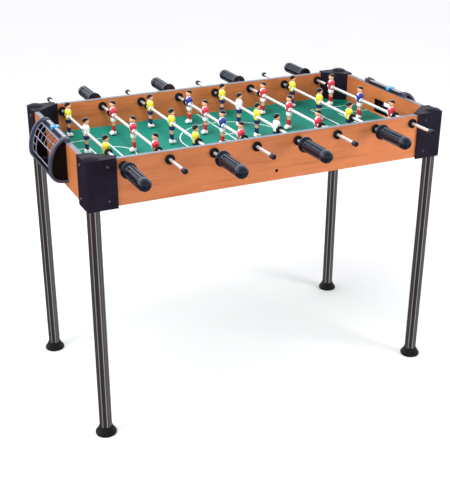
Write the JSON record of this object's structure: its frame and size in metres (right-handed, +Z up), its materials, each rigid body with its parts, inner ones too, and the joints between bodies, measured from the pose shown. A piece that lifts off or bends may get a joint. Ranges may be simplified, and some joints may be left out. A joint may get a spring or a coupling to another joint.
{
  "type": "foosball table",
  "caption": "Kids' foosball table with wood-grain panels, black corner brackets, chrome tube legs, sliding player rods and plastic ball return boxes.",
  "frame": {"origin": "on the floor, under the centre of the cabinet", "axes": "+X along the length from the left goal to the right goal, +Y across to the far long side, +Z up"},
  "size_m": [1.055, 0.8418, 0.753],
  "materials": {
    "wood_laminate": "satin wood-grain laminate on board",
    "edge_band": "satin grey edge band",
    "playfield": "satin green printed board with white lines",
    "batten_wood": "planed softwood",
    "rubber": "matte",
    "black_plastic": "semi-gloss",
    "bracket_plastic": "fine satin texture",
    "box_plastic": "satin",
    "net_plastic": "satin",
    "rail_plastic": "satin",
    "slider_plastic": "gloss",
    "grip_plastic": "semi-gloss",
    "player_plastic": "painted gloss",
    "shirt_yellow": "painted gloss",
    "shirt_white": "painted gloss",
    "shirt_red": "painted gloss",
    "shirt_blue": "painted gloss",
    "kit_navy": "painted gloss",
    "kit_red": "painted gloss",
    "kit_white": "painted gloss",
    "skin_paint": "painted satin",
    "hair_paint": "painted gloss",
    "line_paint": "satin printed line",
    "leg_chrome": "polished",
    "rod_chrome": "polished",
    "screw_steel": "zinc plated",
    "black_bolt": "black"
  },
  "bodies": {
    "table": {"front_panel": "wood_laminate", "back_panel": "wood_laminate", "left_end_panel": "wood_laminate", "right_end_panel": "wood_laminate", "edge_bands": "edge_band", "playfield": "playfield", "field_battens": "batten_wood", "foot_pads": "rubber", "rod_bushings": "black_plastic", "bushing_nuts": "black_plastic", "corner_screws": "screw_steel", "beam_bolts": "black_bolt", "corner_bracket_front_left": "bracket_plastic", "corner_bracket_front_right": "bracket_plastic", "corner_bracket_back_left": "bracket_plastic", "corner_bracket_back_right": "bracket_plastic", "leg_front_left": "leg_chrome", "leg_front_right": "leg_chrome", "leg_back_left": "leg_chrome", "leg_back_right": "leg_chrome", "return_box_left": "box_plastic", "goal_net_left": "net_plastic", "score_rail_left": "rail_plastic", "return_box_right": "box_plastic", "goal_net_right": "net_plastic", "score_rail_right": "rail_plastic"},
    "bumpers_1": {"rod_1_bumpers": "rubber"},
    "rod_1": {"rod_1_shaft": "rod_chrome", "rod_1_players": "player_plastic", "rod_1_grips": "grip_plastic"},
    "bumpers_2": {"rod_2_bumpers": "rubber"},
    "rod_2": {"rod_2_shaft": "rod_chrome", "rod_2_players": "player_plastic", "rod_2_grips": "grip_plastic"},
    "bumpers_3": {"rod_3_bumpers": "rubber"},
    "rod_3": {"rod_3_shaft": "rod_chrome", "rod_3_players": "player_plastic", "rod_3_grips": "grip_plastic"},
    "bumpers_4": {"rod_4_bumpers": "rubber"},
    "rod_4": {"rod_4_shaft": "rod_chrome", "rod_4_players": "player_plastic", "rod_4_grips": "grip_plastic"},
    "bumpers_5": {"rod_5_bumpers": "rubber"},
    "rod_5": {"rod_5_shaft": "rod_chrome", "rod_5_players": "player_plastic", "rod_5_grips": "grip_plastic"},
    "bumpers_6": {"rod_6_bumpers": "rubber"},
    "rod_6": {"rod_6_shaft": "rod_chrome", "rod_6_players": "player_plastic", "rod_6_grips": "grip_plastic"},
    "bumpers_7": {"rod_7_bumpers": "rubber"},
    "rod_7": {"rod_7_shaft": "rod_chrome", "rod_7_players": "player_plastic", "rod_7_grips": "grip_plastic"},
    "bumpers_8": {"rod_8_bumpers": "rubber"},
    "rod_8": {"rod_8_shaft": "rod_chrome", "rod_8_players": "player_plastic", "rod_8_grips": "grip_plastic"},
    "slider_left": {"score_slider_left": "slider_plastic"},
    "slider_right": {"score_slider_right": "slider_plastic"}
  },
  "joints": [
    {"name": "rod_1_slide", "type": "slide", "parent": "table", "child": "bumpers_1", "axis": [0, 1, 0], "range_m": [-0.068, 0.01]},
    {"name": "rod_1_spin", "type": "hinge", "parent": "bumpers_1", "child": "rod_1", "pos_m": [-0.3955, 0.029, 0.715], "axis": [0, 1, 0], "continuous": true},
    {"name": "rod_2_slide", "type": "slide", "parent": "table", "child": "bumpers_2", "axis": [0, 1, 0], "range_m": [-0.049, 0.061]},
    {"name": "rod_2_spin", "type": "hinge", "parent": "bumpers_2", "child": "rod_2", "pos_m": [-0.2825, -0.006, 0.715], "axis": [0, 1, 0], "continuous": true},
    {"name": "rod_3_slide", "type": "slide", "parent": "table", "child": "bumpers_3", "axis": [0, 1, 0], "range_m": [-0.069, 0.041]},
    {"name": "rod_3_spin", "type": "hinge", "parent": "bumpers_3", "child": "rod_3", "pos_m": [-0.1695, 0.014, 0.715], "axis": [0, 1, 0], "continuous": true},
    {"name": "rod_4_slide", "type": "slide", "parent": "table", "child": "bumpers_4", "axis": [0, 1, 0], "range_m": [-0.0455, 0.0475]},
    {"name": "rod_4_spin", "type": "hinge", "parent": "bumpers_4", "child": "rod_4", "pos_m": [-0.0565, -0.001, 0.715], "axis": [0, 1, 0], "continuous": true},
    {"name": "rod_5_slide", "type": "slide", "parent": "table", "child": "bumpers_5", "axis": [0, 1, 0], "range_m": [-0.0715, 0.0215]},
    {"name": "rod_5_spin", "type": "hinge", "parent": "bumpers_5", "child": "rod_5", "pos_m": [0.0565, 0.025, 0.715], "axis": [0, 1, 0], "continuous": true},
    {"name": "rod_6_slide", "type": "slide", "parent": "table", "child": "bumpers_6", "axis": [0, 1, 0], "range_m": [-0.055, 0.055]},
    {"name": "rod_6_spin", "type": "hinge", "parent": "bumpers_6", "child": "rod_6", "pos_m": [0.1695, 0, 0.715], "axis": [0, 1, 0], "continuous": true},
    {"name": "rod_7_slide", "type": "slide", "parent": "table", "child": "bumpers_7", "axis": [0, 1, 0], "range_m": [-0.087, 0.023]},
    {"name": "rod_7_spin", "type": "hinge", "parent": "bumpers_7", "child": "rod_7", "pos_m": [0.2825, 0.032, 0.715], "axis": [0, 1, 0], "continuous": true},
    {"name": "rod_8_slide", "type": "slide", "parent": "table", "child": "bumpers_8", "axis": [0, 1, 0], "range_m": [-0.039, 0.039]},
    {"name": "rod_8_spin", "type": "hinge", "parent": "bumpers_8", "child": "rod_8", "pos_m": [0.3955, 0, 0.715], "axis": [0, 1, 0], "continuous": true},
    {"name": "score_left_slide", "type": "slide", "parent": "table", "child": "slider_left", "axis": [0, 1, 0], "range_m": [-0.082, 0.058]},
    {"name": "score_right_slide", "type": "slide", "parent": "table", "child": "slider_right", "axis": [0, 1, 0], "range_m": [-0.046, 0.094]}
  ]
}
